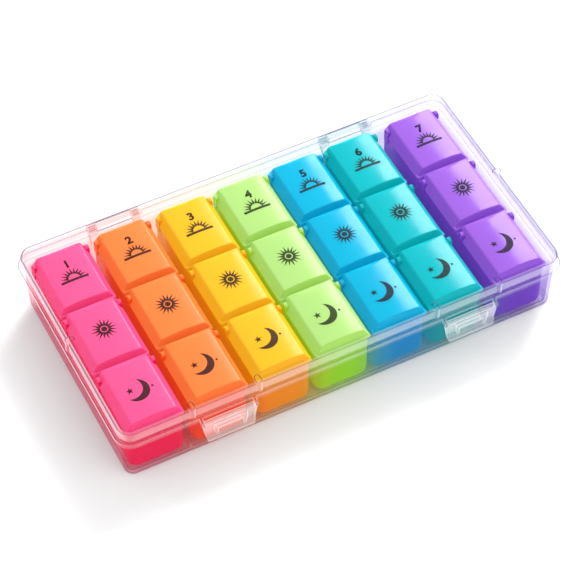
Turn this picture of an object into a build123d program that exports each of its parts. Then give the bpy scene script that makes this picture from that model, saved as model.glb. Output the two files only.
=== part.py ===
from build123d import *
import os
from math import radians, sqrt, tan

# A weekly pill organizer: a clear hinged case with two front latches, which holds one coloured box for
# each day. Each box has three compartments, and each compartment its own hinged lid.
# Millimetres, Z up. X runs from the first day to the last, Y from the latches to the rear hinge.
# The origin is the centre of the case's underside.

# Day boxes
row_names = ("night", "noon", "morning")  # from front to back
compartment_width = 24.8
compartment_length = 34.9
compartment_depth = 25.4
compartment_corner = 2.4
compartment_bottom_round = 2.2
box_wall = 1.2
box_floor = 1.2
box_corner = 4.4
box_bottom_round = 4.2

# Compartment lids: shallow caps with a crowned top, leaning sides and a thumb lip
lid_overhang = 0.4  # the lid's foot beyond the side of the box
lid_height = 4.85  # foot to shoulder
lid_crown = 0.8  # shoulder to the middle of the top
lid_wall = 1.1
lid_flank_inset = 3.2  # how far the sides lean in from foot to shoulder
lid_front_inset = 0.9
lid_shoulder_round = 1.6
lid_front_round = 0.6
lid_seat_gap = 0.15  # between the rim of the box and the lid's foot
lip_reach = 1.0
lip_thickness = 1.2
lip_corner = 0.9
lip_end_inset = 0.3

# Compartment lid hinges: the lid's back is a barrel between two ears of the box
barrel_radius = 3.8
barrel_back_gap = 0.3
barrel_end_wall = 1.2
barrel_end_round = 2.6
barrel_wrap = 150.0  # degrees that the barrel goes round its axis, from the top to under the back
lid_pin_radius = 0.9
lid_pin_length = 1.5
lid_pin_clearance = 0.07
ear_radius = 1.75
ear_root = 4.0  # how far an ear runs down the side of the box
ear_gap = 0.25  # between an ear and the end of the barrel
ear_swing_gap = 0.3  # between an ear and the lid's side round it

# Case: the boxes lie loose in it, so the gaps along X are uneven
day_gaps = (1.2, 3.4, 3.6, 1.8, 0.9, 1.5, 5.3, 2.7)  # from wall to box, box to box, box to wall
box_end_gap = 1.25
case_floor = 1.6
case_wall = 1.6
case_draft = 1.5  # degrees
base_below_rim = 1.2  # the base's rim under the rims of the boxes
base_bottom_round = 3.0
base_inner_round = 1.5
flange_thickness = 1.0
tongue_thickness = 1.1
tongue_height = 2.0
cover_gap = 0.2  # between the base's flange and the lid's bead
cover_clearance = 0.3  # between the tongue and the lid's skirt
cover_wall = 1.4
cover_headroom = 0.6  # above the compartment lids
cover_corner = 6.5
cover_edge_round = 1.8
bead_reach = 1.5
bead_height = 2.4
bead_round = 0.7

# Locating ribs on the floor, in the wide gaps between the boxes
rib_width = 1.6
rib_clearance = 0.8  # a gap between two boxes holds a rib if it leaves this on both sides
rib_length = 9.0
rib_root = 1.0  # how far a rib's round end goes into the wall
rib_height = 5.0

# Stacking lugs: round ribs that climb the lid's skirt and run onto its top
lug_width = 3.0
lug_proud = 1.1
lug_onto_top = 3.6
lug_rise = 1.2
lug_round = 1.1
lug_spacing = 32.6  # between the two lugs beside a latch

# Rear hinge: lid knuckles with stub pins, between ears on the base
hinge_spacing = 122.0  # between the middles of the two hinges
knuckle_length = 18.0
knuckle_radius = 2.4
knuckle_offset = 2.8  # axis behind the lid's skirt
hinge_ear_thickness = 4.0
hinge_end_gap = 0.25
hinge_pin_radius = 1.2
hinge_pin_length = 3.4
hinge_pin_clearance = 0.07
hinge_side_gap = 0.5  # between the ears and the ends of the bead beside them

# Front latches: flaps on stub pins between two arms of the lid
latch_spacing = 122.0
latch_barrel_length = 24.4
latch_barrel_radius = 1.1
latch_offset = 3.2  # axis in front of the lid's skirt
latch_drop = 1.2  # axis below the lid's bead
latch_width = 27.4  # at the shoulders
latch_toe_width = 23.0
latch_toe_round = 2.2
latch_thickness = 1.4
latch_straight = 7.0
latch_flare_radius = 8.0
latch_flare_angle = 38.0  # degrees
latch_pin_radius = 0.6
latch_pin_length = 1.2
latch_pin_clearance = 0.06
latch_end_gap = 0.2
arm_thickness = 1.4
arm_radius = 1.3
arm_root = 1.8
arm_swing_gap = 0.4  # between an arm and the latch's shoulder
latch_side_gap = 0.6  # between the arms and the ends of the flange beside them

# Raised pattern on the latch: a bar with a leg at each end
bar_length = 16.4
bar_top = 1.2  # below the axis
bar_height = 4.2
bar_proud = 0.8
leg_width = 2.0
leg_toe_width = 1.0
leg_length = 4.2

# Catch on the base and hook on the latch
catch_length = 14.0
catch_drop = 3.8  # below the base's rim
catch_height = 3.2
catch_edge = 0.7
catch_reach = 2.8
hook_length = 12.0
hook_gap = 0.3
hook_edge = 0.8
hook_thickness = 2.9
hook_wall_gap = 0.9

# Levels and sizes that follow
row_count = len(row_names)
row_pitch = compartment_length + box_wall
box_width = compartment_width + 2 * box_wall
box_length = row_count * row_pitch + box_wall
box_height = compartment_depth + box_floor
rim = case_floor + box_height
base_height = rim - base_below_rim
catch_top = base_height - catch_drop
catch_bottom = catch_top - catch_height
lid_width = box_width + 2 * lid_overhang
lid_foot = rim + lid_seat_gap
lid_shoulder = lid_foot + lid_height
lid_top = lid_shoulder + lid_crown
lid_front = -compartment_length / 2
lid_axis_y = compartment_length / 2 - barrel_back_gap - barrel_radius
lid_axis_z = lid_top - barrel_radius
lid_axis = Axis((0, lid_axis_y, lid_axis_z), (-1, 0, 0))
barrel_half = compartment_width / 2 - ear_gap
hollow_half = barrel_half - barrel_end_wall
lid_notch_y = lid_axis_y - ear_radius - ear_swing_gap
row_places = [(index - (row_count - 1) / 2) * row_pitch for index in range(row_count)]

day_count = len(day_gaps) - 1
inner_length = sum(day_gaps) + day_count * lid_width
inner_depth = box_length + 2 * box_end_gap
first_day = (lid_width - inner_length) / 2
day_places = [first_day + sum(day_gaps[: day + 1]) + day * lid_width for day in range(day_count)]

cover_foot = base_height + cover_gap
cover_underside = lid_top + cover_headroom
cover_top = cover_underside + cover_wall
skirt_growth = tongue_thickness + cover_clearance
cover_growth = skirt_growth + cover_wall
bead_growth = cover_growth + bead_reach
inner_corner = cover_corner - cover_growth
cover_front = -inner_depth / 2 - cover_growth
cover_side = inner_length / 2 + cover_growth

hinge_y = -cover_front + knuckle_offset
hinge_z = base_height + cover_gap / 2
hinge_places = (-hinge_spacing / 2, hinge_spacing / 2)
latch_y = cover_front - latch_offset
latch_z = cover_foot - latch_drop
latch_places = (-latch_spacing / 2, latch_spacing / 2)
tongue_front = -inner_depth / 2 - tongue_thickness
outwards = {-1: Align.MAX, 1: Align.MIN}


def case_outline(growth):
    """Draw the case's plan, the given distance outside the base's inner rim."""
    RectangleRounded(inner_length + 2 * growth, inner_depth + 2 * growth, inner_corner + growth)


def draft_below_rim(level):
    """Give how far the drafted wall has moved inwards at a level under the base's rim."""
    return (base_height - level) * tan(radians(case_draft))


def lid_half_width(level):
    """Give half the width between a compartment lid's leaning sides at a level."""
    return lid_width / 2 - lid_flank_inset * (level - lid_foot) / lid_height


def crowned_section(half_foot, foot, half_shoulder, shoulder, crown):
    """Draw a lid's cross-section: leaning sides, with an arc for the top."""
    with BuildLine() as section:
        Polyline((half_shoulder, shoulder), (half_foot, foot), (-half_foot, foot), (-half_shoulder, shoulder))
        ThreePointArc((-half_shoulder, shoulder), (0, shoulder + crown), (half_shoulder, shoulder))
    make_face(section.edges())


# Day box
with BuildPart() as compartments:
    with BuildSketch(Plane.XY.offset(rim)):
        with Locations([(0, place) for place in row_places]):
            RectangleRounded(compartment_width, compartment_length, compartment_corner)
    extrude(amount=-compartment_depth)
    fillet(compartments.faces().group_by(Axis.Z)[0].edges(), radius=compartment_bottom_round)

ear_places = [place + lid_axis_y for place in row_places]
with BuildPart() as lid_ears:
    for side in (-1, 1):
        with BuildSketch(Plane.YZ.offset(side * compartment_width / 2)):
            with Locations([(place, lid_axis_z) for place in ear_places]):
                Circle(ear_radius)
            with Locations([(place, rim - ear_root) for place in ear_places]):
                ear_post = lid_axis_z - rim + ear_root
                Rectangle(2 * ear_radius, ear_post, align=(Align.CENTER, Align.MIN))
        extrude(amount=side * (box_wall + lid_overhang))

with BuildPart() as day_box:
    with BuildSketch(Plane.XY.offset(case_floor)):
        RectangleRounded(box_width, box_length, box_corner)
    extrude(amount=box_height)
    fillet(day_box.faces().sort_by(Axis.Z)[0].edges(), radius=box_bottom_round)
    add(compartments.part, mode=Mode.SUBTRACT)
    add(lid_ears.part)
    with BuildSketch(Plane.YZ):
        with Locations([(place, lid_axis_z) for place in ear_places]):
            Circle(lid_pin_radius + lid_pin_clearance)
    extrude(amount=box_width, both=True, mode=Mode.SUBTRACT)

# Compartment lid, over the middle compartment of a box at X = 0
lid_section_plane = Plane.XZ.offset(-lid_axis_y - barrel_radius)
lid_section_length = lid_axis_y + barrel_radius - lid_front
barrel_foot = lid_axis_z - barrel_radius
lid_shoulder_half = lid_half_width(lid_shoulder)

with BuildPart() as lid_barrel:
    with BuildSketch(Plane.XZ.offset(-lid_axis_y)) as barrel_section:
        with Locations((0, lid_axis_z)):
            Rectangle(2 * barrel_half, barrel_radius, align=(Align.CENTER, Align.MIN))
        fillet(barrel_section.vertices().group_by(Axis.Y)[-1], radius=barrel_end_round)
    revolve(axis=lid_axis, revolution_arc=barrel_wrap)
    with BuildSketch(lid_section_plane):
        crowned_section(lid_half_width(barrel_foot), barrel_foot, lid_shoulder_half, lid_shoulder, lid_crown)
    extrude(amount=lid_section_length, mode=Mode.INTERSECT)

with BuildPart() as barrel_hollow:
    with BuildSketch(Plane.XZ.offset(-lid_axis_y)) as hollow_section:
        with Locations((0, lid_axis_z)):
            Rectangle(2 * hollow_half, barrel_radius - lid_wall, align=(Align.CENTER, Align.MIN))
        fillet(hollow_section.vertices().group_by(Axis.Y)[-1], radius=barrel_end_round - lid_wall)
    revolve(axis=lid_axis)
    extrude(hollow_section.sketch, amount=lid_axis_y - lid_notch_y + lid_wall)
    with BuildSketch(Plane.XZ.offset(-lid_axis_y)):
        with Locations((0, lid_foot)):
            Rectangle(2 * hollow_half, lid_axis_z - lid_foot, align=(Align.CENTER, Align.MIN))
    extrude(amount=lid_axis_y - lid_notch_y + lid_wall)
    with BuildSketch(lid_section_plane):
        crowned_section(
            lid_half_width(barrel_foot) - lid_wall,
            barrel_foot,
            lid_shoulder_half - lid_wall,
            lid_shoulder - lid_wall,
            lid_crown,
        )
    extrude(amount=lid_section_length, mode=Mode.INTERSECT)

with BuildPart() as lid_hollow:
    with BuildSketch(lid_section_plane):
        crowned_section(
            lid_width / 2 - lid_wall,
            lid_foot,
            lid_shoulder_half - lid_wall,
            lid_shoulder - lid_wall,
            lid_crown,
        )
    extrude(amount=lid_section_length)
    with BuildSketch(Plane.YZ):
        with BuildLine():
            Polyline(
                (lid_front + lid_wall, lid_foot),
                (lid_front + lid_front_inset + lid_wall, lid_top),
                (lid_notch_y - lid_wall, lid_top),
                (lid_notch_y - lid_wall, lid_foot),
                close=True,
            )
        make_face()
    extrude(amount=lid_width, both=True, mode=Mode.INTERSECT)

with BuildPart() as compartment_lid:
    with BuildSketch(lid_section_plane) as lid_section:
        crowned_section(lid_width / 2, lid_foot, lid_shoulder_half, lid_shoulder, lid_crown)
        fillet(lid_section.vertices().group_by(Axis.Y)[-1], radius=lid_shoulder_round)
    extrude(amount=lid_section_length)
    with BuildSketch(Plane.YZ):
        with BuildLine():
            Polyline(
                (lid_front, lid_foot),
                (lid_front + lid_front_inset, lid_top),
                (lid_axis_y, lid_top),
                (lid_axis_y, lid_foot),
                close=True,
            )
        make_face()
    extrude(amount=lid_width, both=True, mode=Mode.INTERSECT)
    fillet(compartment_lid.faces().sort_by(Axis.Y)[0].edges().sort_by(Axis.Z)[1:], radius=lid_front_round)
    for side in (-1, 1):
        with BuildSketch(Plane.YZ.offset(side * barrel_half)):
            with Locations((lid_axis_y, lid_axis_z)):
                Circle(lid_axis_y - lid_notch_y)
            with Locations((lid_notch_y, lid_foot)):
                Rectangle(2 * ear_radius, lid_axis_z - lid_foot, align=(Align.MIN, Align.MIN))
        extrude(amount=side * lid_width, mode=Mode.SUBTRACT)
    add(lid_barrel.part)
    add(lid_hollow.part, mode=Mode.SUBTRACT)
    add(barrel_hollow.part, mode=Mode.SUBTRACT)
    with BuildSketch(Plane.XY.offset(lid_foot)):
        with Locations((0, lid_front - lip_reach)):
            RectangleRounded(
                lid_width - 2 * lip_end_inset,
                lip_reach + lid_front_inset + lid_wall,
                lip_corner,
                align=(Align.CENTER, Align.MIN),
            )
    extrude(amount=lip_thickness)
    for side in (-1, 1):
        with BuildSketch(Plane.YZ.offset(side * barrel_half)):
            with Locations((lid_axis_y, lid_axis_z)):
                Circle(lid_pin_radius)
        extrude(amount=side * lid_pin_length)

# Case base
hinge_ear_place = knuckle_length / 2 + hinge_end_gap
with BuildPart() as case_base:
    with BuildSketch(Plane.XY):
        case_outline(case_wall - draft_below_rim(0))
    with BuildSketch(Plane.XY.offset(base_height)):
        case_outline(case_wall)
    loft()
    fillet(case_base.faces().sort_by(Axis.Z)[0].edges(), radius=base_bottom_round)
    with BuildSketch(Plane.XY.offset(base_height - flange_thickness)):
        case_outline(bead_growth)
        latch_notch = latch_barrel_length + 2 * (latch_end_gap + arm_thickness + latch_side_gap)
        with Locations([(place, tongue_front) for place in latch_places]):
            Rectangle(latch_notch, bead_growth, align=(Align.CENTER, Align.MAX), mode=Mode.SUBTRACT)
        hinge_notch = 2 * (hinge_ear_place + hinge_ear_thickness + hinge_side_gap)
        with Locations([(place, -tongue_front) for place in hinge_places]):
            Rectangle(hinge_notch, bead_growth, align=(Align.CENTER, Align.MIN), mode=Mode.SUBTRACT)
    extrude(amount=flange_thickness)
    with BuildSketch(Plane.XY.offset(base_height)):
        case_outline(tongue_thickness)
    extrude(amount=tongue_height)
    for place in hinge_places:
        for side in (-1, 1):
            with BuildSketch(Plane.YZ.offset(place + side * hinge_ear_place)):
                with Locations((hinge_y, hinge_z)):
                    Circle(knuckle_radius)
                gusset = knuckle_radius / sqrt(2)
                with BuildLine():
                    Polyline(
                        (-tongue_front, base_height),
                        (hinge_y, base_height),
                        (hinge_y + gusset, hinge_z - gusset),
                        (-tongue_front, hinge_z - 2 * gusset - hinge_y - tongue_front),
                        close=True,
                    )
                make_face()
                with Locations((hinge_y, hinge_z)):
                    Circle(hinge_pin_radius + hinge_pin_clearance, mode=Mode.SUBTRACT)
            extrude(amount=side * hinge_ear_thickness)
    for place in latch_places:
        with BuildSketch(Plane.YZ.offset(place)):
            with BuildLine():
                Polyline(
                    (tongue_front, catch_bottom),
                    (-inner_depth / 2 - case_wall - catch_reach, catch_bottom),
                    (-inner_depth / 2 - case_wall - catch_reach, catch_bottom + catch_edge),
                    (tongue_front, catch_top),
                    close=True,
                )
            make_face()
        extrude(amount=catch_length / 2, both=True)
    with BuildSketch(Plane.XY.offset(case_floor)):
        case_outline(-draft_below_rim(case_floor))
    with BuildSketch(Plane.XY.offset(base_height)):
        case_outline(0)
    loft(mode=Mode.SUBTRACT)
    with BuildSketch(Plane.XY.offset(base_height)):
        case_outline(0)
    extrude(amount=tongue_height, mode=Mode.SUBTRACT)
    inner_floor = case_base.faces().filter_by(Plane.XY).group_by(Axis.Z)[1]
    fillet(inner_floor.edges(), radius=base_inner_round)
    with BuildSketch(Plane.XY.offset(case_floor)):
        rib_y = inner_depth / 2 - draft_below_rim(case_floor) + rib_root - rib_length / 2
        for left_day, gap in zip(day_places, day_gaps[1:-1]):
            if gap >= rib_width + 2 * rib_clearance:
                with Locations([(left_day + (lid_width + gap) / 2, side * rib_y) for side in (-1, 1)]):
                    SlotOverall(rib_length, rib_width, rotation=90)
    extrude(amount=rib_height)

# Case lid
with BuildPart() as case_lid:
    with BuildSketch(Plane.XY.offset(cover_foot)):
        case_outline(cover_growth)
    extrude(amount=cover_top - cover_foot)
    fillet(case_lid.faces().sort_by(Axis.Z)[-1].edges(), radius=cover_edge_round)
    with BuildSketch(Plane.XY.offset(cover_foot)):
        case_outline(bead_growth)
    extrude(amount=bead_height)
    bead_top = case_lid.faces().filter_by(Plane.XY).group_by(Axis.Z)[1][0]
    fillet(bead_top.outer_wire().edges(), radius=bead_round)
    with BuildSketch(Plane.XY.offset(cover_foot)):
        with Locations([(place, -cover_front) for place in hinge_places]):
            Rectangle(hinge_notch, bead_growth, align=(Align.CENTER, Align.MIN))
    extrude(amount=bead_height, mode=Mode.SUBTRACT)
    for place in hinge_places:
        with BuildSketch(Plane.YZ.offset(place)):
            with Locations((hinge_y, hinge_z)):
                Circle(knuckle_radius)
            with Locations((hinge_y, cover_foot)):
                Rectangle(knuckle_offset + cover_wall, bead_height, align=(Align.MAX, Align.MIN))
        extrude(amount=knuckle_length / 2, both=True)
        with BuildSketch(Plane.YZ.offset(place)):
            with Locations((hinge_y, hinge_z)):
                Circle(hinge_pin_radius)
        extrude(amount=knuckle_length / 2 + hinge_pin_length, both=True)
    for place in latch_places:
        for side in (-1, 1):
            with BuildSketch(Plane.YZ.offset(place + side * (latch_barrel_length / 2 + latch_end_gap))):
                with Locations((latch_y, latch_z)):
                    Circle(arm_radius)
                with Locations((cover_front, cover_foot)):
                    Rectangle(bead_reach, arm_root, align=(Align.MAX, Align.MIN))
                make_hull()
                with Locations((latch_y, latch_z)):
                    Circle(latch_pin_radius + latch_pin_clearance, mode=Mode.SUBTRACT)
            extrude(amount=side * arm_thickness)
    lug_length = lug_proud + lug_onto_top
    lug_middle = lug_proud - lug_length / 2
    with BuildSketch(Plane.XY.offset(cover_foot)):
        for place in latch_places:
            for side in (-1, 1):
                with Locations((place + side * lug_spacing / 2, cover_front - lug_middle)):
                    SlotOverall(lug_length, lug_width, rotation=90)
        for side in (-1, 1):
            with Locations((side * (cover_side + lug_middle), 0)):
                SlotOverall(lug_length, lug_width)
    extrude(amount=cover_top + lug_rise - cover_foot)
    lug_tops = case_lid.faces().filter_by(Plane.XY).group_by(Axis.Z)[-1]
    fillet(lug_tops.edges(), radius=lug_round)
    with BuildSketch(Plane.XY.offset(cover_foot)):
        case_outline(skirt_growth)
    extrude(amount=cover_underside - cover_foot, mode=Mode.SUBTRACT)

# Latch, at X = 0
with BuildPart() as latch:
    with BuildSketch(Plane.YZ):
        with BuildLine():
            spine = Line((latch_y, latch_z), (latch_y, latch_z - latch_straight))
            JernArc(spine @ 1, spine % 1, latch_flare_radius, -latch_flare_angle)
        trace(line_width=latch_thickness)
    extrude(amount=latch_width / 2, both=True)
    latch_toe = latch.part.bounding_box().min.Z
    with BuildSketch(Plane.XZ.offset(-latch_y - latch_flare_radius)) as latch_front:
        with BuildLine():
            Polyline(
                (-latch_width / 2, latch_z),
                (latch_width / 2, latch_z),
                (latch_toe_width / 2, latch_toe),
                (-latch_toe_width / 2, latch_toe),
                close=True,
            )
        make_face()
        fillet(latch_front.vertices().group_by(Axis.Y)[0], radius=latch_toe_round)
        for side in (-1, 1):
            with Locations((side * latch_barrel_length / 2, latch_z - arm_radius - arm_swing_gap)):
                Rectangle(latch_width, latch_width, align=(outwards[side], Align.MIN), mode=Mode.SUBTRACT)
    extrude(amount=2 * latch_flare_radius, mode=Mode.INTERSECT)
    with BuildSketch(Plane.YZ):
        with Locations((latch_y, latch_z)):
            Circle(latch_barrel_radius)
    extrude(amount=latch_barrel_length / 2, both=True)
    with BuildSketch(Plane.YZ):
        with Locations((latch_y, latch_z)):
            Circle(latch_pin_radius)
    extrude(amount=latch_barrel_length / 2 + latch_pin_length, both=True)
    with BuildSketch(Plane.XZ.offset(-latch_y + latch_thickness / 2)):
        bar_foot = latch_z - bar_top - bar_height
        with Locations((0, bar_foot)):
            Rectangle(bar_length, bar_height, align=(Align.CENTER, Align.MIN))
        for side in (-1, 1):
            with BuildLine():
                Polyline(
                    (side * bar_length / 2, bar_foot),
                    (side * (bar_length / 2 - leg_width), bar_foot),
                    (side * (bar_length / 2 - leg_width), bar_foot - leg_length),
                    (side * (bar_length / 2 - leg_width + leg_toe_width), bar_foot - leg_length),
                    close=True,
                )
            make_face()
    extrude(amount=bar_proud)
    with BuildSketch(Plane.YZ):
        hook_top = catch_bottom - hook_gap
        hook_tip = -inner_depth / 2 - case_wall - hook_wall_gap
        with BuildLine():
            Polyline(
                (latch_y, hook_top),
                (hook_tip, hook_top),
                (hook_tip, hook_top - hook_edge),
                (latch_y, hook_top - hook_thickness),
                close=True,
            )
        make_face()
    extrude(amount=hook_length / 2, both=True)

# One file for each piece
os.makedirs("parts", exist_ok=True)
case_base.part.label = "case_base"
export_step(case_base.part, "parts/case_base.step")
case_lid.part.label = "case_lid"
export_step(case_lid.part, "parts/case_lid.step")
for name, place in zip(("latch_left", "latch_right"), latch_places):
    placed_latch = latch.part.moved(Location((place, 0, 0)))
    placed_latch.label = name
    export_step(placed_latch, f"parts/{name}.step")
for day, day_x in enumerate(day_places, start=1):
    placed_box = day_box.part.moved(Location((day_x, 0, 0)))
    placed_box.label = f"day{day}_box"
    export_step(placed_box, f"parts/day{day}_box.step")
    for row_name, row_y in zip(row_names, row_places):
        placed_lid = compartment_lid.part.moved(Location((day_x, row_y, 0)))
        placed_lid.label = f"day{day}_lid_{row_name}"
        export_step(placed_lid, f"parts/day{day}_lid_{row_name}.step")
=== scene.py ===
import bpy
from math import cos, pi, radians, sin
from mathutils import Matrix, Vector


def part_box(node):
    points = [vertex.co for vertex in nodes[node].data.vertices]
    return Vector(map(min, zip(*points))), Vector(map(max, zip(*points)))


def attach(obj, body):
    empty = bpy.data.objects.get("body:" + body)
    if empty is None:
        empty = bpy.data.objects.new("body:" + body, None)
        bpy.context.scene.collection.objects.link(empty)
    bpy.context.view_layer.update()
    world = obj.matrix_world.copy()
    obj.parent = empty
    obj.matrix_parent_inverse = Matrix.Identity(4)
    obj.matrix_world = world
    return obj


# A weekly pill organizer: a clear latched case over seven tinted boxes with printed lids.
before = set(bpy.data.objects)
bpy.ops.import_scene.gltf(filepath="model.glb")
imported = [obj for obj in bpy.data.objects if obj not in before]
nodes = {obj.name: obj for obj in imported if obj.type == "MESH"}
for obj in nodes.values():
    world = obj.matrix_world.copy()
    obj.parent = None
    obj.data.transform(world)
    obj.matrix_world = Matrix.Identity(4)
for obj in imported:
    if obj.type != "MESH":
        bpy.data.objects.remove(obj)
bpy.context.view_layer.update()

MM = 0.001
DAYS = 7
LID_TOP = 34.0 * MM
# From a compartment lid's front edge to the middle of its print
PRINT_MIDDLE = 18.45 * MM
# How far a figure is laid over a lid's top, and the thickness of its coat of ink
INK_HEIGHT = 0.06 * MM
INK_COAT = 0.05 * MM

# Each day's colour: its name, the tint of faces that look up, painted paler as a painted sheen, and the
# deeper tint of walls
day_tints = (
    ("pink", (1.0, 0.17, 0.45), (0.90, 0.0, 0.12)),
    ("orange", (1.0, 0.36, 0.09), (0.95, 0.10, 0.0)),
    ("amber", (1.0, 0.70, 0.03), (0.90, 0.36, 0.0)),
    ("lime", (0.57, 0.83, 0.34), (0.40, 0.74, 0.02)),
    ("sky", (0.0, 0.60, 0.82), (0.0, 0.34, 0.66)),
    ("teal", (0.0, 0.62, 0.69), (0.0, 0.42, 0.45)),
    ("violet", (0.46, 0.18, 0.82), (0.22, 0.05, 0.62)),
)


# Short calls for the shader nodes that the materials use again and again

def feed(nt, socket, value):
    """Link an output to a socket, or set the socket to a plain value."""
    if isinstance(value, bpy.types.NodeSocket):
        nt.links.new(value, socket)
    else:
        socket.default_value = value


def stretch(nt, value, from_low, from_high, to_low=0.0, to_high=1.0, easing="LINEAR"):
    """Map a value from one range onto another."""
    node = nt.nodes.new("ShaderNodeMapRange")
    node.interpolation_type = easing
    feed(nt, node.inputs["Value"], value)
    feed(nt, node.inputs["From Min"], from_low)
    feed(nt, node.inputs["From Max"], from_high)
    feed(nt, node.inputs["To Min"], to_low)
    feed(nt, node.inputs["To Max"], to_high)
    return node.outputs["Result"]


def compute(nt, operation, first, second):
    """Work out one value from two."""
    node = nt.nodes.new("ShaderNodeMath")
    node.operation = operation
    feed(nt, node.inputs[0], first)
    feed(nt, node.inputs[1], second)
    return node.outputs[0]


def mix_colours(nt, share, first, second):
    """Go from a first colour to a second by a share."""
    # The Mix node has its colours on sockets 6 and 7 and their mix on output 2
    node = nt.nodes.new("ShaderNodeMix")
    node.data_type = "RGBA"
    feed(nt, node.inputs[0], share)
    feed(nt, node.inputs[6], first)
    feed(nt, node.inputs[7], second)
    return node.outputs[2]


def mix_values(nt, share, first, second):
    """Go from a first value to a second by a share."""
    node = nt.nodes.new("ShaderNodeMix")
    feed(nt, node.inputs[0], share)
    feed(nt, node.inputs[2], first)
    feed(nt, node.inputs[3], second)
    return node.outputs[0]


def noise(nt, vector, scale, detail=2.0, roughness=0.5):
    """Cloudy noise over a piece."""
    node = nt.nodes.new("ShaderNodeTexNoise")
    feed(nt, node.inputs["Vector"], vector)
    feed(nt, node.inputs["Scale"], scale)
    feed(nt, node.inputs["Detail"], detail)
    feed(nt, node.inputs["Roughness"], roughness)
    return node.outputs["Fac"]


def split(nt, vector):
    """The X, Y and Z of a vector."""
    node = nt.nodes.new("ShaderNodeSeparateXYZ")
    feed(nt, node.inputs[0], vector)
    return node.outputs


def place_group(nt, group, **values):
    """Place a node group in a material with its own values, and give its outputs."""
    node = nt.nodes.new("ShaderNodeGroup")
    node.node_tree = group
    for name, value in values.items():
        feed(nt, node.inputs[name.replace("_", " ").title()], value)
    return node.outputs


def opaque(colour):
    """A colour with the fourth number that a colour socket wants."""
    return (*colour, 1.0)


def start_material(name):
    """A new material with its node tree and its main shader."""
    material = bpy.data.materials.new(name)
    material.use_nodes = True
    return material, material.node_tree, material.node_tree.nodes["Principled BSDF"]


# Shader node groups

def moulded_plastic_group():
    """Moulded plastic with faint flow marks, paler on faces that look up and deeper on walls, which is
    painted light: a painted sheen on top and painted shade on the walls.
    """
    group = bpy.data.node_groups.new("plastic_with_painted_light", "ShaderNodeTree")
    for name, kind, value in (
        ("Face Tint", "NodeSocketColor", (0.8, 0.8, 0.8, 1.0)),
        ("Wall Tint", "NodeSocketColor", (0.5, 0.5, 0.5, 1.0)),
        ("Flow Scale", "NodeSocketFloat", 60.0),
        ("Flow Strength", "NodeSocketFloat", 0.1),
        ("Low Roughness", "NodeSocketFloat", 0.15),
        ("High Roughness", "NodeSocketFloat", 0.3),
    ):
        socket = group.interface.new_socket(name, in_out="INPUT", socket_type=kind)
        socket.default_value = value
    group.interface.new_socket("Colour", in_out="OUTPUT", socket_type="NodeSocketColor")
    group.interface.new_socket("Roughness", in_out="OUTPUT", socket_type="NodeSocketFloat")
    group.interface.new_socket("Height", in_out="OUTPUT", socket_type="NodeSocketFloat")
    given = group.nodes.new("NodeGroupInput").outputs
    result = group.nodes.new("NodeGroupOutput").inputs
    coord = group.nodes.new("ShaderNodeTexCoord").outputs
    # Faces that look up take the Face Tint and walls the Wall Tint: painted sheen and painted shade, by
    # which way a face turns.
    upward = stretch(group, split(group, coord["Normal"])["Z"], 0.35, 0.97, easing="SMOOTHSTEP")
    tint = mix_colours(group, upward, given["Wall Tint"], given["Face Tint"])
    flow = noise(group, coord["Object"], given["Flow Scale"], detail=3.0, roughness=0.55)
    marks = compute(group, "MULTIPLY", stretch(group, flow, 0.3, 0.7), given["Flow Strength"])
    gloss = stretch(group, flow, 0.3, 0.7, given["Low Roughness"], given["High Roughness"])
    feed(group, result["Colour"], mix_colours(group, marks, tint, given["Wall Tint"]))
    feed(group, result["Roughness"], gloss)
    feed(group, result["Height"], noise(group, coord["Object"], 900.0))
    return group


def box_light_group():
    """The light that the tinted boxes throw into the clear case: their colours along its length."""
    group = bpy.data.node_groups.new("box_light", "ShaderNodeTree")
    group.interface.new_socket("Colour", in_out="OUTPUT", socket_type="NodeSocketColor")
    group.interface.new_socket("Amount", in_out="OUTPUT", socket_type="NodeSocketFloat")
    result = group.nodes.new("NodeGroupOutput").inputs
    place = split(group, group.nodes.new("ShaderNodeTexCoord").outputs["Object"])
    low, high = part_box("case_base")
    ramp = group.nodes.new("ShaderNodeValToRGB")
    stops = ramp.color_ramp.elements
    ramp.color_ramp.interpolation = "EASE"
    for day, (name, face, wall) in enumerate(day_tints, 1):
        box_low, box_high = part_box(f"day{day}_box")
        middle = ((box_low[0] + box_high[0]) / 2 - low[0]) / (high[0] - low[0])
        stop = stops[0] if day == 1 else stops.new(middle)
        stop.position = middle
        stop.color = opaque(wall)
    stops.remove(stops[-1])
    feed(group, ramp.inputs["Fac"], stretch(group, place["X"], low[0], high[0]))
    feed(group, result["Colour"], ramp.outputs["Color"])
    rim_low = 23 * MM
    rim_high = 26 * MM
    feed(group, result["Amount"], stretch(group, place["Z"], rim_low, rim_high, 1.0, 0.4))
    return group


plastic_with_painted_light = moulded_plastic_group()
box_light = box_light_group()


# Materials

def form_masks(nt):
    """Masks of a piece's form: rounded edges that look up, and flat faces that look up or down."""
    upward = split(nt, nt.nodes.new("ShaderNodeTexCoord").outputs["Normal"])["Z"]
    rounding = nt.nodes.new("ShaderNodeValToRGB")
    stops = rounding.color_ramp.elements
    stops[0].position = 0.05
    stops[0].color = (0.0, 0.0, 0.0, 1.0)
    stops[1].position = 1.0
    stops[1].color = (0.0, 0.0, 0.0, 1.0)
    for position in (0.15, 0.975):
        stops.new(position).color = (1.0, 1.0, 1.0, 1.0)
    feed(nt, rounding.inputs["Fac"], upward)
    level = stretch(nt, compute(nt, "ABSOLUTE", upward, 0.0), 0.95, 0.99)
    return rounding.outputs["Color"], level


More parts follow.
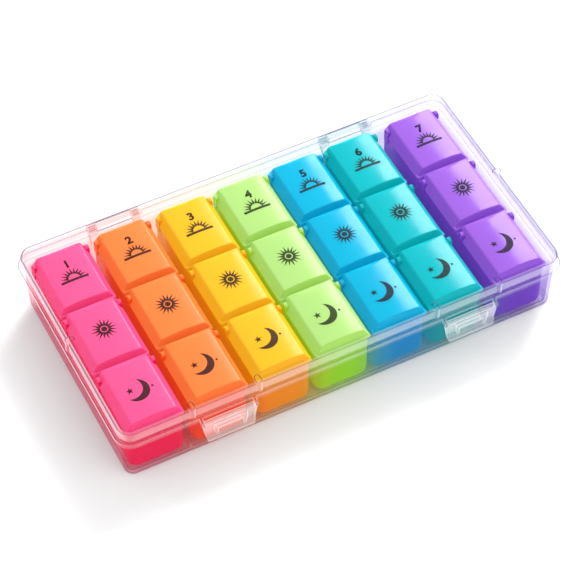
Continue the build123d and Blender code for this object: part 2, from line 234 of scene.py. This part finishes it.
def clear_case_walls(nt, facing, share, through, open_share, light, amount, outline, side_shade_share):
    """What shows through the clear case, and how solid it looks.

    Its walls are painted with the boxes' colours, painted light that the boxes beside them throw, a thin
    line of painted shade is drawn where a rounded edge turns away, with a faint share of it on all sides,
    and flat faces stay clear from low down.
    """
    painted_wall_light = 0.25
    flat_share = 0.2
    turn_start = 0.24
    turn_end = 0.34
    rounding, level = form_masks(nt)
    # A painted dark line where a rounded edge turns away, with a faint share of it on all sides: painted
    # shade standing in for the darkening that refraction gives clear edges.
    line = compute(nt, "MULTIPLY", stretch(nt, facing, turn_start, turn_end), rounding)
    # The boxes' colours are painted into what shows through the walls: painted light of the boxes.
    painted_light_share = compute(nt, "MULTIPLY", stretch(nt, level, 0.0, 1.0, painted_wall_light, 0.0), amount)
    through_with_painted_light = mix_colours(nt, painted_light_share, opaque(through), light["Colour"])
    edge_shade_share = compute(nt, "MAXIMUM", line, stretch(nt, level, 0.0, 1.0, side_shade_share, 0.0))
    colour = mix_colours(nt, edge_shade_share, through_with_painted_light, opaque(outline))
    faint = mix_values(nt, line, share, open_share)
    return colour, compute(nt, "MULTIPLY", faint, stretch(nt, level, 0.0, 1.0, 1.0, flat_share))


def see_through_plastic(
    name, face, wall, through, shade, open_share, edge_share, clear_until, roughness, shine, painted_glow,
    caught=0.0, outline=None, side_shade_share=0.0,
):
    """A see-through moulded plastic: a glossy tinted body over what shows through it.

    The body's share of what is seen goes from open_share, seen straight on, to edge_share at a grazing
    angle. Shade is what a wall lets through towards its shadow, painted_glow the strength of a painted glow
    that stands in for the little light its body scatters from inside, caught the share of the boxes' colours
    painted on its walls as the light they throw, outline the tint of a thin painted dark line where a
    rounded edge turns away, and side_shade_share how much of that painted shade all its sides have.
    """
    material, nt, plastic = start_material(name)
    detail = place_group(
        nt, plastic_with_painted_light, face_tint=opaque(face), wall_tint=opaque(wall),
        low_roughness=roughness[0], high_roughness=roughness[1],
    )
    facing = nt.nodes.new("ShaderNodeLayerWeight").outputs["Facing"]
    share = stretch(nt, facing, clear_until, 1.0, open_share, edge_share)
    colour = detail["Colour"]
    seen_through = opaque(through)
    # A painted glow in the wall tint, standing in for the little light that the body scatters from inside.
    plastic.inputs["Emission Color"].default_value = opaque(wall)
    if caught:
        # The clear case's colour and glow are painted with the boxes' colours along its length: painted
        # light that stands in for the light they throw through it.
        light = place_group(nt, box_light)
        amount = compute(nt, "MULTIPLY", caught, light["Amount"])
        colour = mix_colours(nt, amount, colour, light["Colour"])
        feed(nt, plastic.inputs["Emission Color"], colour)
        seen_through, share = clear_case_walls(
            nt, facing, share, through, open_share, light, amount, outline, side_shade_share
        )
    path = nt.nodes.new("ShaderNodeLightPath").outputs
    aside = compute(nt, "MAXIMUM", path["Is Shadow Ray"], path["Is Diffuse Ray"])
    grey = (shade, shade, shade, 1.0)
    grain = nt.nodes.new("ShaderNodeBump")
    grain.inputs["Strength"].default_value = 0.1
    grain.inputs["Distance"].default_value = 0.01 * MM
    feed(nt, grain.inputs["Height"], detail["Height"])
    feed(nt, plastic.inputs["Base Color"], mix_colours(nt, aside, colour, grey))
    feed(nt, plastic.inputs["Roughness"], detail["Roughness"])
    feed(nt, plastic.inputs["Normal"], grain.outputs["Normal"])
    plastic.inputs["IOR"].default_value = 1.49
    plastic.inputs["Specular IOR Level"].default_value = shine
    plastic.inputs["Emission Strength"].default_value = painted_glow
    passing = nt.nodes.new("ShaderNodeBsdfTransparent")
    feed(nt, passing.inputs["Color"], mix_colours(nt, aside, seen_through, grey))
    wall_mix = nt.nodes.new("ShaderNodeMixShader")
    feed(nt, wall_mix.inputs["Fac"], share)
    feed(nt, wall_mix.inputs[1], passing.outputs["BSDF"])
    feed(nt, wall_mix.inputs[2], plastic.outputs["BSDF"])
    feed(nt, nt.nodes["Material Output"].inputs["Surface"], wall_mix.outputs["Shader"])
    return material


def tinted_plastic(name, face, wall, through):
    """The tinted plastic of a day's box or its lids."""
    return see_through_plastic(
        name, face, wall, through, shade=0.6, open_share=0.5, edge_share=0.86, clear_until=0.1,
        roughness=(0.12, 0.25), shine=0.3, painted_glow=0.3,
    )


def print_ink(name, wall):
    """Dark printing ink with a slightly uneven coat and a hint of the plastic under it."""
    material, nt, ink = start_material(name)
    colour = [0.012 + 0.07 * c for c in wall]
    # The ink's walls are painted darker than its top, painted shade; the darker tint also marks the uneven
    # coat.
    detail = place_group(
        nt, plastic_with_painted_light, face_tint=opaque(colour), wall_tint=opaque(0.6 * c for c in colour),
        flow_scale=700.0, flow_strength=0.5, low_roughness=0.4, high_roughness=0.6,
    )
    ink.inputs["Specular IOR Level"].default_value = 0.12
    feed(nt, ink.inputs["Base Color"], detail["Colour"])
    feed(nt, ink.inputs["Roughness"], detail["Roughness"])
    return material


def paper():
    """Matt white paper with a faint tooth."""
    material, nt, sheet = start_material("paper_floor")
    tooth = noise(nt, nt.nodes.new("ShaderNodeTexCoord").outputs["Object"], 400.0)
    white = mix_colours(nt, tooth, (0.93, 0.93, 0.93, 1.0), (0.95, 0.95, 0.95, 1.0))
    feed(nt, sheet.inputs["Base Color"], white)
    sheet.inputs["Roughness"].default_value = 0.8
    sheet.inputs["Specular IOR Level"].default_value = 0.1
    return material


# The clear plastics' walls and rounded edges are painted whiter than their faces that look up: a painted
# highlight.
clear_lid = see_through_plastic(
    "clear_lid", face=(0.8, 0.81, 0.82), wall=(0.98, 0.98, 0.98), through=(0.99, 0.99, 0.99), shade=0.93,
    open_share=0.008, edge_share=0.9, clear_until=0.34, roughness=(0.06, 0.12), shine=0.5, painted_glow=0.35,
    caught=1.0, outline=(0.42, 0.42, 0.53), side_shade_share=0.06,
)
clear_latch = see_through_plastic(
    "clear_latch", face=(0.9, 0.9, 0.9), wall=(0.98, 0.98, 0.98), through=(0.97, 0.97, 0.97), shade=0.9,
    open_share=0.1, edge_share=0.9, clear_until=0.4, roughness=(0.06, 0.12), shine=0.5, painted_glow=0.35,
)
clear_base = see_through_plastic(
    "clear_base", face=(0.8, 0.8, 0.8), wall=(0.95, 0.95, 0.95), through=(0.98, 0.98, 0.98), shade=0.82,
    open_share=0.12, edge_share=0.8, clear_until=0.76, roughness=(0.1, 0.2), shine=0.5, painted_glow=0.24,
    caught=0.95, outline=(0.6, 0.6, 0.64),
)
tinted_boxes = []
tinted_lids = []
inks = []
for name, face, wall in day_tints:
    through = [c ** 0.5 for c in wall]
    between = [(a + b) / 2 for a, b in zip(face, wall)]
    tinted_boxes.append(tinted_plastic(f"tinted_{name}", face, wall, through))
    tinted_lids.append(tinted_plastic(f"tinted_lid_{name}", face, between, through))
    inks.append(print_ink(f"{name}_ink", wall))

finishes = {
    "case_base": clear_base,
    "case_lid": clear_lid,
    "latch_left": clear_latch,
    "latch_right": clear_latch,
}
for day in range(1, DAYS + 1):
    finishes[f"day{day}_box"] = tinted_boxes[day - 1]
    for row in ("morning", "noon", "night"):
        finishes[f"day{day}_lid_{row}"] = tinted_lids[day - 1]
for name, node in nodes.items():
    node.data.materials.clear()
    node.data.materials.append(finishes[name])


# Printed figures, drawn in millimetres round the middle of a lid

def deselect():
    bpy.ops.object.select_all(action="DESELECT")


def draw_ring(inner, outer, place=(0, 0)):
    """A flat ring between two radii."""
    deselect()
    bpy.ops.mesh.primitive_circle_add(vertices=48, radius=inner, fill_type="NOTHING", location=(*place, 0))
    bpy.ops.object.mode_set(mode="EDIT")
    bpy.ops.mesh.select_all(action="SELECT")
    bpy.ops.mesh.extrude_edges_move()
    grow = outer / inner
    bpy.ops.transform.resize(value=(grow, grow, 1))
    bpy.ops.object.mode_set(mode="OBJECT")
    return bpy.context.object


def draw_disc(radius, place=(0, 0)):
    """A flat disc with one ring of faces inside its rim."""
    deselect()
    bpy.ops.mesh.primitive_circle_add(vertices=40, radius=radius, fill_type="TRIFAN", location=(*place, 0))
    bpy.ops.object.mode_set(mode="EDIT")
    bpy.ops.mesh.select_all(action="SELECT")
    bpy.ops.mesh.subdivide(number_cuts=1)
    bpy.ops.object.mode_set(mode="OBJECT")
    return bpy.context.object


def draw_rays(count, inner, outer, width, first, sweep, place=(0, 0)):
    """Tapered rays round a centre, from the first angle over a sweep in degrees, counted from +Y."""
    deselect()
    bpy.ops.mesh.primitive_circle_add(vertices=3, radius=1, fill_type="NGON")
    bpy.ops.object.mode_set(mode="EDIT")
    bpy.ops.mesh.select_all(action="SELECT")
    # The triangle of radius 1 is 1.5 long and twice the cosine of 30 degrees wide
    length = (outer - inner) / 1.5
    bpy.ops.transform.resize(value=(width / (2 * cos(pi / 6)), length, 1))
    bpy.ops.transform.translate(value=(0, inner + length / 2, 0))
    bpy.ops.mesh.subdivide(number_cuts=2)
    bpy.ops.transform.rotate(value=radians(first), orient_axis="Z", center_override=(0, 0, 0))
    bpy.ops.mesh.spin(
        dupli=True,
        steps=count - 1,
        angle=radians(sweep),
        center=(0, 0, 0),
        axis=(0, 0, 1),
        use_auto_merge=False,
    )
    bpy.ops.mesh.select_all(action="SELECT")
    bpy.ops.transform.translate(value=(*place, 0))
    bpy.ops.object.mode_set(mode="OBJECT")
    return bpy.context.object


def draw_bar(length, height, place):
    """A flat bar, cut across so that it can follow a curved lid."""
    deselect()
    bpy.ops.mesh.primitive_grid_add(x_subdivisions=24, y_subdivisions=2, size=1)
    bpy.ops.object.mode_set(mode="EDIT")
    bpy.ops.mesh.select_all(action="SELECT")
    bpy.ops.transform.resize(value=(length, height, 1))
    bpy.ops.transform.translate(value=(*place, 0))
    bpy.ops.object.mode_set(mode="OBJECT")
    return bpy.context.object


def keep_above(piece, level):
    """Cut away what lies under a level in Y, counted from the piece's own middle."""
    bpy.context.view_layer.objects.active = piece
    bpy.ops.object.mode_set(mode="EDIT")
    bpy.ops.mesh.select_all(action="SELECT")
    bpy.ops.mesh.bisect(plane_co=(0, level, 0), plane_no=(0, 1, 0), clear_inner=True)
    bpy.ops.object.mode_set(mode="OBJECT")


def draw_star(radius, waist, place):
    """A small star with five points."""
    deselect()
    bpy.ops.mesh.primitive_circle_add(vertices=10, radius=radius, fill_type="TRIFAN")
    star = bpy.context.object
    points = [v for v in star.data.vertices if v.co.length > radius / 2]
    points.sort(key=lambda v: v.index)
    for element in (*star.data.vertices, *star.data.edges, *star.data.polygons):
        element.select = False
    for vertex in points[1::2]:
        vertex.select = True
    bpy.ops.object.mode_set(mode="EDIT")
    bpy.ops.mesh.select_mode(type="VERT")
    bpy.ops.transform.resize(value=(waist, waist, 1), center_override=(0, 0, 0))
    bpy.ops.mesh.select_all(action="SELECT")
    bpy.ops.transform.translate(value=(*place, 0))
    bpy.ops.object.mode_set(mode="OBJECT")
    return star


def draw_crescent(radius, bite, bite_place, place):
    """A crescent: a disc with a smaller round bite taken out of one side."""
    deselect()
    bpy.ops.mesh.primitive_cylinder_add(vertices=96, radius=bite, depth=4, location=(*bite_place, 0))
    cutter = bpy.context.object
    deselect()
    bpy.ops.mesh.primitive_circle_add(vertices=96, radius=radius, fill_type="NGON")
    moon = bpy.context.object
    bpy.ops.object.mode_set(mode="EDIT")
    bpy.ops.mesh.select_all(action="SELECT")
    bpy.ops.mesh.extrude_region_move(TRANSFORM_OT_translate={"value": (0, 0, 1)})
    bpy.ops.mesh.select_all(action="SELECT")
    bpy.ops.mesh.normals_make_consistent(inside=False)
    bpy.ops.object.mode_set(mode="OBJECT")
    cut = moon.modifiers.new("bite", "BOOLEAN")
    cut.operation = "DIFFERENCE"
    cut.solver = "EXACT"
    cut.object = cutter
    bpy.ops.object.modifier_apply(modifier=cut.name)
    bpy.data.objects.remove(cutter)
    bpy.ops.object.mode_set(mode="EDIT")
    bpy.ops.mesh.select_mode(type="FACE")
    bpy.ops.mesh.select_all(action="DESELECT")
    bpy.ops.object.mode_set(mode="OBJECT")
    for face in moon.data.polygons:
        face.select = face.normal.z < 0.5
    bpy.ops.object.mode_set(mode="EDIT")
    bpy.ops.mesh.delete(type="FACE")
    bpy.ops.mesh.select_all(action="SELECT")
    bpy.ops.mesh.quads_convert_to_tris()
    bpy.ops.mesh.subdivide(number_cuts=2)
    bpy.ops.transform.translate(value=(*place, -1))
    bpy.ops.object.mode_set(mode="OBJECT")
    return moon


def draw_numeral(text, height, place):
    """A plain bold numeral."""
    deselect()
    bpy.ops.object.text_add()
    numeral = bpy.context.object
    numeral.data.body = text
    numeral.data.align_x = "CENTER"
    numeral.data.align_y = "CENTER"
    digit_share = 0.7
    stroke_growth = 0.26
    numeral.data.size = height / digit_share
    numeral.data.offset = stroke_growth
    bpy.ops.object.convert(target="MESH")
    numeral = bpy.context.object
    numeral.location = (*place, 0)
    bpy.ops.object.transform_apply(location=True, rotation=True, scale=True)
    return numeral


def join_figure(parts, name):
    """Make one flat mesh of a figure's parts, in metres."""
    deselect()
    for part in parts:
        part.select_set(True)
    bpy.context.view_layer.objects.active = parts[0]
    bpy.ops.object.transform_apply(location=True, rotation=True, scale=True)
    if len(parts) > 1:
        bpy.ops.object.join()
    figure = bpy.context.object
    figure.name = name
    bpy.ops.object.mode_set(mode="EDIT")
    bpy.ops.mesh.select_all(action="SELECT")
    bpy.ops.transform.resize(value=(MM, MM, MM), center_override=(0, 0, 0))
    bpy.ops.object.mode_set(mode="OBJECT")
    return figure


def print_on_lid(figure, name, lid, place, ink):
    """Copy a flat figure onto a lid's crowned top as a thin coat of ink."""
    deselect()
    figure.select_set(True)
    bpy.context.view_layer.objects.active = figure
    bpy.ops.object.duplicate()
    coat = bpy.context.object
    coat.name = name
    coat.location = (*place, LID_TOP + MM)
    bpy.ops.object.transform_apply(location=True, rotation=True, scale=True)
    wrap = coat.modifiers.new("lay_on_lid", "SHRINKWRAP")
    wrap.target = lid
    wrap.wrap_method = "PROJECT"
    wrap.use_project_z = True
    wrap.use_negative_direction = True
    wrap.use_positive_direction = False
    wrap.offset = INK_HEIGHT
    bpy.ops.object.modifier_apply(modifier=wrap.name)
    thick = coat.modifiers.new("ink_coat", "SOLIDIFY")
    thick.thickness = INK_COAT
    thick.offset = -1
    bpy.ops.object.modifier_apply(modifier=thick.name)
    coat.data.materials.clear()
    coat.data.materials.append(ink)
    return coat


def draw_sunrise():
    """A half sun with rays over a level line."""
    horizon = -3.3
    half_ring = draw_ring(inner=2.4, outer=3.2, place=(0, horizon))
    keep_above(half_ring, 0)
    rays = draw_rays(count=9, inner=3.1, outer=6.7, width=1.3, first=-76, sweep=152, place=(0, horizon))
    ground = draw_bar(length=13.4, height=1.3, place=(0, horizon - 0.6))
    return join_figure([half_ring, rays, ground], "sunrise_figure")


def draw_noon_sun():
    """A disc in a ring, with eight long rays and eight shorter ones between them."""
    rays = 8
    sweep = 360 * (rays - 1) / rays
    disc = draw_disc(radius=1.35)
    ring = draw_ring(inner=1.9, outer=2.7)
    long_rays = draw_rays(count=rays, inner=2.6, outer=6.7, width=1.25, first=0, sweep=sweep)
    short_rays = draw_rays(count=rays, inner=2.6, outer=6.0, width=1.25, first=180 / rays, sweep=sweep)
    return join_figure([disc, ring, long_rays, short_rays], "noon_figure")


def draw_night():
    """A crescent moon with a star and a dot."""
    moon = draw_crescent(radius=5.9, bite=5.7, bite_place=(-2.45, 1.9), place=(-1.2, -1.3))
    star = draw_star(radius=1.9, waist=0.4, place=(-4.2, -0.4))
    dot = draw_disc(radius=0.55, place=(6.1, -1.8))
    return join_figure([moon, star, dot], "night_figure")


sunrise = draw_sunrise()
noon_sun = draw_noon_sun()
night = draw_night()
for day, ink in enumerate(inks, 1):
    numeral = join_figure([draw_numeral(str(day), height=4.2, place=(0, 5.7))], f"numeral_{day}")
    for row, kind, figure in (
        ("morning", "figure", sunrise),
        ("morning", "numeral", numeral),
        ("noon", "figure", noon_sun),
        ("night", "figure", night),
    ):
        lid_name = f"day{day}_lid_{row}"
        low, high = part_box(lid_name)
        middle = ((low[0] + high[0]) / 2, low[1] + PRINT_MIDDLE)
        coat = print_on_lid(figure, f"print_day{day}_{row}_{kind}", nodes[lid_name], middle, ink)
        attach(coat, lid_name)
    bpy.data.objects.remove(numeral)
for pattern in (sunrise, noon_sun, night):
    bpy.data.objects.remove(pattern)


# Studio: white paper floor, even white surroundings and two soft lamps

floor_width = 8
floor_depth = 0.1 * MM
deselect()
bpy.ops.mesh.primitive_plane_add(size=1)
floor = bpy.context.object
floor.name = "paper_floor"
bpy.ops.object.mode_set(mode="EDIT")
bpy.ops.mesh.select_all(action="SELECT")
bpy.ops.transform.resize(value=(floor_width, floor_width, 1))
bpy.ops.transform.translate(value=(0, 0, -floor_depth))
bpy.ops.object.mode_set(mode="OBJECT")
floor.data.materials.append(paper())

world = bpy.data.worlds.new("white_studio")
bpy.context.scene.world = world
world.use_nodes = True
surroundings = world.node_tree.nodes["Background"]
surroundings.inputs["Color"].default_value = (1.0, 1.0, 1.0, 1.0)
surroundings.inputs["Strength"].default_value = 0.92


def soft_lamp(name, place, target, size, power):
    """A large soft lamp at a place, turned to a target."""
    deselect()
    bpy.ops.object.light_add(type="AREA", location=place)
    lamp = bpy.context.object
    lamp.name = name
    lamp.data.shape = "DISK"
    lamp.data.size = size
    lamp.data.energy = power
    aim = Vector(target) - Vector(place)
    lamp.rotation_euler = aim.to_track_quat("-Z", "Y").to_euler()


case_middle = (0, 0, 20 * MM)
soft_lamp("key_lamp", place=(0.85, 0.7, 0.9), target=case_middle, size=0.6, power=18)
soft_lamp("fill_lamp", place=(0.6, -0.9, 1.1), target=case_middle, size=1.2, power=4)


# Camera, fitted to the case's corners in the photograph, whose lengths here are in pixels

photo_width = 576
photo_focal_length = 2412.5
photo_shift_x = -1.17
photo_shift_y = -12.88
azimuth = radians(-27.037)
elevation = radians(51.15)
distance = 1.118
bpy.ops.object.camera_add(
    location=(
        distance * sin(azimuth) * cos(elevation),
        -distance * cos(azimuth) * cos(elevation),
        distance * sin(elevation) + case_middle[2],
    ),
    rotation=(pi / 2 - elevation, 0, azimuth),
)
camera = bpy.context.object
camera.data.sensor_width = 36
camera.data.lens = photo_focal_length * camera.data.sensor_width / photo_width
camera.data.shift_x = photo_shift_x / photo_width
camera.data.shift_y = photo_shift_y / photo_width
camera.data.clip_start = 0.05
bpy.context.scene.camera = camera

bpy.context.scene.view_settings.view_transform = "Standard"
bpy.context.scene.cycles.transparent_max_bounces = 24
